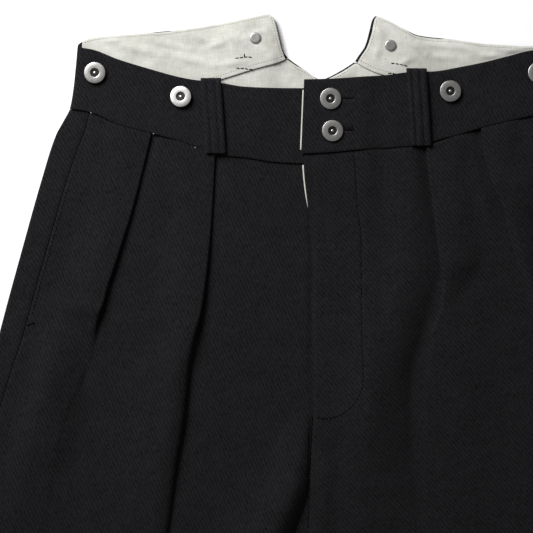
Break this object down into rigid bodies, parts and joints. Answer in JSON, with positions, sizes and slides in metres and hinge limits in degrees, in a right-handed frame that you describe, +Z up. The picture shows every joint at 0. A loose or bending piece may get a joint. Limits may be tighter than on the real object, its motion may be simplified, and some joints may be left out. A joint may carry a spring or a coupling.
{
  "type": "work trousers",
  "caption": "Black wool twill work trousers laid flat, with a fishtail back, brace buttons, a button fly and pleated fronts.",
  "frame": {"origin": "on the surface that the trousers lie on, under the middle of their box", "axes": "+Z up off the surface, +Y towards the waist, +X towards the wearer's left"},
  "size_m": [0.5878, 1.093, 0.0145],
  "materials": {
    "black_wool_twill": "matt heavy wool twill, diagonal ribs",
    "natural_linen": "matt undyed plain linen",
    "grey_metal": "satin pewter grey with a dark recess"
  },
  "bodies": {
    "root": {"waistband_right": "black_wool_twill", "waistband_lining_right": "natural_linen", "seat_lining_right": "natural_linen", "front_right": "black_wool_twill", "back_right": "black_wool_twill", "belt_loop_front_right": "black_wool_twill", "belt_loop_back_right": "black_wool_twill", "button_brace_right_outer": "grey_metal", "button_brace_right_inner": "grey_metal", "button_back_right": "grey_metal", "tack_cap_right": "grey_metal", "waistband_left": "black_wool_twill", "waistband_lining_left": "natural_linen", "seat_lining_left": "natural_linen", "front_left": "black_wool_twill", "back_left": "black_wool_twill", "belt_loop_front_left": "black_wool_twill", "belt_loop_back_left": "black_wool_twill", "button_brace_left_outer": "grey_metal", "button_brace_left_inner": "grey_metal", "button_back_left": "grey_metal", "tack_cap_left": "grey_metal", "fly_shield": "black_wool_twill", "fly_facing": "natural_linen", "waistband_end_facing": "natural_linen", "button_fly_upper": "grey_metal", "button_fly_lower": "grey_metal"}
  },
  "joints": []
}
